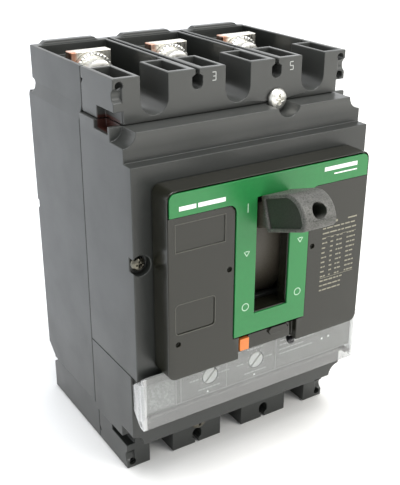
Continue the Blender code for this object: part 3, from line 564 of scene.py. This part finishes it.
def printed(name, key, face_y, outlines, body="case"):
    """Ink on a face that looks towards -Y: each outline is a ring of (x, z) corners in millimetres."""
    bm = bmesh.new()
    for outline in outlines:
        back = [bm.verts.new(Vector((x, face_y - SUNK, z)) * MM) for x, z in outline]
        front = [bm.verts.new(Vector((x, face_y - INK, z)) * MM) for x, z in outline]
        bm.faces.new(front)
        bm.faces.new(list(reversed(back)))
        count = len(outline)
        for i in range(count):
            j = (i + 1) % count
            bm.faces.new((back[i], back[j], front[j], front[i]))
    bmesh.ops.recalc_face_normals(bm, faces=bm.faces)
    mesh = bpy.data.meshes.new(name)
    bm.to_mesh(mesh)
    bm.free()
    obj = bpy.data.objects.new(name, mesh)
    bpy.context.scene.collection.objects.link(obj)
    paint(obj, key)
    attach(obj, body)


def bar(x0, x1, z0, z1):
    """The outline of a rectangle."""
    return [(x0, z0), (x1, z0), (x1, z1), (x0, z1)]


def ring(x, z, radius, width, sides=28):
    """A circle drawn as short blocks, so that each stays a simple outline."""
    blocks = []
    for i in range(sides):
        a, b = 2 * math.pi * i / sides, 2 * math.pi * (i + 1) / sides
        outer, inner = radius + width / 2, radius - width / 2
        blocks.append([(x + outer * math.cos(a), z + outer * math.sin(a)),
                       (x + outer * math.cos(b), z + outer * math.sin(b)),
                       (x + inner * math.cos(b), z + inner * math.sin(b)),
                       (x + inner * math.cos(a), z + inner * math.sin(a))])
    return blocks


def stroke(a, b, width):
    """A straight line between two points."""
    along_line = (Vector(b) - Vector(a)).normalized()
    across = Vector((-along_line.y, along_line.x)) * width / 2
    return [tuple(corner) for corner in (Vector(a) + across, Vector(a) - across,
                                         Vector(b) - across, Vector(b) + across)]


def dashes(seed, x0, x1, z, height, shortest, longest, gap):
    """A row of short strokes of uneven length, where the real object has a printed line."""
    rng = random.Random(seed)
    row, x = [], x0
    while x < x1 - shortest:
        end = min(x1, x + rng.uniform(shortest, longest))
        row.append(bar(x, end, z, z + height))
        x = end + gap
    return row


DIGITS = {  # strokes on a 2 by 4 grid, from the lower left corner
    "3": [((0, 4), (2, 4)), ((2, 4), (2, 0)), ((2, 0), (0, 0)), ((0.5, 2), (2, 2))],
    "5": [((2, 4), (0, 4)), ((0, 4), (0, 2)), ((0, 2), (2, 2)), ((2, 2), (2, 0)), ((2, 0), (0, 0))],
}


def terminal_numbers():
    """Plain numerals on the posts, one for each line terminal."""
    scale, width, low, beside_slot = 0.74, 0.34, 75.6, 6.2
    for digit, slot in (("3", -17.5), ("5", 17.5)):
        x, z = slot + beside_slot, low
        strokes = [stroke((x + a[0] * scale, z + a[1] * scale), (x + b[0] * scale, z + b[1] * scale), width)
                   for a, b in DIGITS[digit]]
        printed("terminal_number_" + digit, "ink_number", POST_FACE_Y, strokes)


def facing_marks():
    """Position marks on the green facing, and plain bars where a maker would print a name."""
    off_z, trip_z, on_z = -4.8, 17.1, 35.0
    marks = [bar(-12.1, -11.75, on_z - 1.7, on_z + 1.7)]
    for x in (-11.9, 12.7):
        marks += ring(x, off_z, 1.45, 0.32)
        tip = (x, trip_z - 1.0)
        marks += [stroke((x - 1.2, trip_z + 0.9), tip, 0.32), stroke((x + 1.2, trip_z + 0.9), tip, 0.32),
                  stroke((x - 0.7, trip_z + 0.9), (x + 0.7, trip_z + 0.9), 0.32)]
    printed("position_marks", "ink_pale", FACING_Y, marks)
    plain = [bar(-40.4, -33.6, 39.6, 41.2), bar(-32.8, -21.6, 39.6, 41.2),
             bar(22.6, 38.6, 42.4, 44.0), bar(27.4, 38.6, 40.6, 41.1)]
    printed("plain_name_bars", "ink_white", FACING_Y, plain)


def outline_strips(x0, x1, z0, z1, width):
    """Four thin strips round a rectangle."""
    return [bar(x0 - width, x1 + width, z1, z1 + width), bar(x0 - width, x1 + width, z0 - width, z0),
            bar(x0 - width, x0, z0, z1), bar(x1, x1 + width, z0, z1)]


def marker_frames():
    """Thin raised beads round the two blank marker fields on the left of the cover, painted paler as a
    painted highlight along their edges.
    """
    strips = outline_strips(-41.7, -21.3, 24.3, 34.6, 0.3)
    radius, x0, x1, z0, z1 = 1.6, -42.0, -25.2, -8.3, 4.0
    corners = [(x1 - radius, z1 - radius, 0), (x0 + radius, z1 - radius, 90),
               (x0 + radius, z0 + radius, 180), (x1 - radius, z0 + radius, 270)]
    path = []
    for x, z, start in corners:
        for turn in (0, 22.5, 45, 67.5, 90):
            angle = math.radians(start + turn)
            path.append((x + radius * math.cos(angle), z + radius * math.sin(angle)))
    strips += [stroke(a, b, 0.3) for a, b in zip(path, path[1:] + path[:1])]
    printed("marker_frames", "frame_highlight_paint", COVER_LOW.y, strips)


def rating_block():
    """Blank rows of strokes where the real cover has its rating table."""
    x0, x1, top, pitch = 24.0, 41.0, 20.6, 2.05
    rows = [bar(x0, x0 + 7.2, top, top + 1.0), bar(x1 - 4.6, x1, top + 0.1, top + 0.7)]
    for index in range(1, 15):
        z = top - index * pitch
        if index in (1, 2):
            rows += dashes(index, x0, x1, z, 0.6, 1.2, 3.4, 0.5)
        elif index < 12:
            for column, width in ((x0, 2.6), (x0 + 4.2, 1.4), (x0 + 7.2, 3.4), (x0 + 12.4, 4.4)):
                rows += dashes(index * 10 + int(column), column, column + width, z, 0.62, 0.7, 1.9, 0.35)
        else:
            rows += dashes(index, x0, x0 + 11.5, z, 0.6, 1.0, 2.6, 0.4)
    rows.append(bar(x0, x1, top - 2.75 * pitch, top - 2.75 * pitch + 0.14))
    rows.append(bar(x0, x1, top - 11.3 * pitch, top - 11.3 * pitch + 0.14))
    printed("rating_rows", "ink_cream", COVER_LOW.y, rows)


def fascia_marks():
    """Dial scales, field lines and a plain label on the trip unit's plate."""
    face = FASCIA_LOW.y
    printed("fascia_patch", "ink_patch", face, [bar(-50.2, -37.9, -43.9, -31.2)])
    rng = random.Random(11)
    cell, left, low = 0.62, -49.6, -43.3
    grain = [bar(left + i * cell, left + i * cell + cell * 0.8, low + j * cell, low + j * cell + cell * 0.8)
             for i in range(18) for j in range(18) if rng.random() < 0.38]
    printed("fascia_patch_texture", "ink_grey", face - INK, grain)
    lines = [bar(x, x + 0.22, -44.0, -29.0) for x in (-37.5, -35.3, -14.1, 10.1)]
    lines.append(bar(-37.5, 49.8, -44.1, -43.95))
    for x in DIALS_X:
        for step in range(9):
            angle = math.radians(-30 + step * 30)
            inner, outer = 3.9, 4.7
            lines.append(stroke((x + inner * math.cos(angle), DIALS_Z + inner * math.sin(angle)),
                                (x + outer * math.cos(angle), DIALS_Z + outer * math.sin(angle)), 0.25))
        lines += dashes(int(x * 3), x - 9.5, x - 5.4, DIALS_Z - 0.2, 0.5, 0.8, 1.6, 0.4)
        lines += dashes(int(x * 5), x + 5.2, x + 9.0, DIALS_Z - 0.2, 0.5, 0.8, 1.6, 0.4)
        lines += dashes(int(x * 7), x - 5.5, x + 5.0, DIALS_Z - 5.4, 0.55, 0.7, 1.7, 0.4)
        lines += dashes(int(x * 9), x - 4.4, x + 4.0, DIALS_Z + 5.4, 0.55, 0.7, 1.7, 0.4)
    for index, z in enumerate((-31.4, -33.4, -35.6, -37.6)):
        lines += dashes(70 + index, 12.2, 24.5 + 6 * (index % 2), z, 0.55, 0.8, 2.2, 0.4)
    printed("fascia_lines", "ink_line", face, lines)
    spots = [[(x - 0.6, z), (x + 0.6, z), (x, z + 1.0)] for x, z in ((-22.9, -43.4), (-0.4, -43.2))]
    spots += [bar(x, x + 0.9, z, z + 0.9) for x, z in ((34.2, -37.4), (37.8, -37.2))]
    printed("fascia_spots", "ink_light", face, spots)


DIALS_X = [(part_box(name)[0].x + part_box(name)[1].x) / 2 / MM
           for name in ("setting_dial_1", "setting_dial_2")]
DIALS_Z = (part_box("setting_dial_1")[0].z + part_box("setting_dial_1")[1].z) / 2 / MM

facing_marks()
terminal_numbers()
marker_frames()
rating_block()
fascia_marks()

# the hidden inner pieces show their CAD solids, with their own finish
for node_name, obj in NODES.items():
    if obj.hide_render:
        continue
    for start, key in (("moving", "copper"), ("fixed", "copper"), ("bimetal", "copper"),
                       ("magnet", "steel"), ("arc_", "steel"), ("main_spring", "steel"),
                       ("button_spring", "steel"), ("handle_yoke", "steel"), ("mechanism", "zinc"),
                       ("contact_shaft", "brown"), ("trip_bar", "brown")):
        if node_name.startswith(start):
            paint(obj, key)
            break


# ---------------------------------------------------------------- studio

def floor():
    reach = 3.0        # metres from the middle to each side
    mesh = bpy.data.meshes.new("floor")
    level = CAD_BOX[0].z - 0.2 * MM
    corners = [(-reach, -reach, level), (reach, -reach, level), (reach, reach, level), (-reach, reach, level)]
    mesh.from_pydata(corners, [], [(0, 1, 2, 3)])
    obj = bpy.data.objects.new("floor", mesh)
    bpy.context.scene.collection.objects.link(obj)
    mat, shader = new_material("studio_floor")
    # painted light: the floor is tinted cool at the left and back and warm at the right and front, so the
    # housing's reflections take coloured light
    to_the_right = math_node(mat, "SUBTRACT", along(mat, "X"), along(mat, "Y"))
    tint = remap(mat, to_the_right, -0.25, 0.25, 0, 1, smooth=True)
    painted_cool_light, painted_warm_light = (0.90, 0.925, 0.96, 1), (0.96, 0.945, 0.91, 1)
    mat.node_tree.links.new(mix(mat, tint, painted_cool_light, painted_warm_light), shader.inputs["Base Color"])
    shader.inputs["Roughness"].default_value = 0.7
    mesh.materials.append(mat)


def lamp(name, place, target, size, power, colour):
    data = bpy.data.lights.new(name, "AREA")
    data.shape = "RECTANGLE"
    data.size, data.size_y = size
    data.energy = power
    data.color = colour
    obj = bpy.data.objects.new(name, data)
    obj.location = place
    obj.rotation_mode = "QUATERNION"
    obj.rotation_quaternion = (Vector(target) - Vector(place)).to_track_quat("-Z", "Y")
    bpy.context.scene.collection.objects.link(obj)


def camera():
    azimuth, elevation, roll = math.radians(32.53), math.radians(24.26), math.radians(0.32)
    forward = Vector((math.sin(azimuth) * math.cos(elevation),
                      math.cos(azimuth) * math.cos(elevation), -math.sin(elevation)))
    right = Vector((math.cos(azimuth), -math.sin(azimuth), 0))
    up = right.cross(forward)
    right, up = (right * math.cos(roll) + up * math.sin(roll),
                 up * math.cos(roll) - right * math.sin(roll))
    data = bpy.data.cameras.new("camera")
    data.sensor_width = 36
    data.lens = 61.29
    data.shift_x, data.shift_y = -0.0078, 0.0126
    data.clip_start, data.clip_end = 0.01, 20
    data.dof.use_dof = False
    obj = bpy.data.objects.new("camera", data)
    axes = Matrix((right, up, -forward)).transposed().to_4x4()
    place = Vector((-0.1718, -0.3212, 0.1421))
    obj.matrix_world = Matrix.Translation(place) @ axes
    bpy.context.scene.collection.objects.link(obj)
    bpy.context.scene.camera = obj


def world():
    """A studio that is bright at the back and round the horizon and dimmer overhead."""
    sky = bpy.data.worlds.new("studio")
    bpy.context.scene.world = sky
    sky.use_nodes = True
    back = sky.node_tree.nodes["Background"]
    back.inputs["Color"].default_value = (0.97, 0.985, 1.0, 1)
    base = remap(sky, along(sky, "Z", "Generated"), 0.35, 0.9, 0.80, 0.62, smooth=True)
    behind = remap(sky, along(sky, "Y", "Generated"), 0.3, 0.8, 0, 1.0, smooth=True)
    low = remap(sky, along(sky, "Z", "Generated"), 0.2, 0.7, 1.0, 0, smooth=True)
    wall = math_node(sky, "MULTIPLY", behind, low)
    sky.node_tree.links.new(math_node(sky, "ADD", base, wall), back.inputs["Strength"])


def sun(name, direction, strength, spread):
    """A sun that shines along the direction, spread over that many degrees."""
    data = bpy.data.lights.new(name, "SUN")
    data.energy = strength
    data.angle = math.radians(spread)
    obj = bpy.data.objects.new(name, data)
    obj.rotation_mode = "QUATERNION"
    obj.rotation_quaternion = Vector(direction).to_track_quat("-Z", "Y")
    bpy.context.scene.collection.objects.link(obj)


floor()
camera()
world()
sun("key", (0.02, 0.16, -1.0), 2.5, 35)
# a low-powered box that lights the floor in front of the right side
lamp("front_softbox", (0.55, -0.85, 0.55), (0.32, -0.62, -0.08), (0.7, 0.6), 7, (1.0, 0.985, 0.95))
bpy.context.scene.view_settings.view_transform = "Standard"
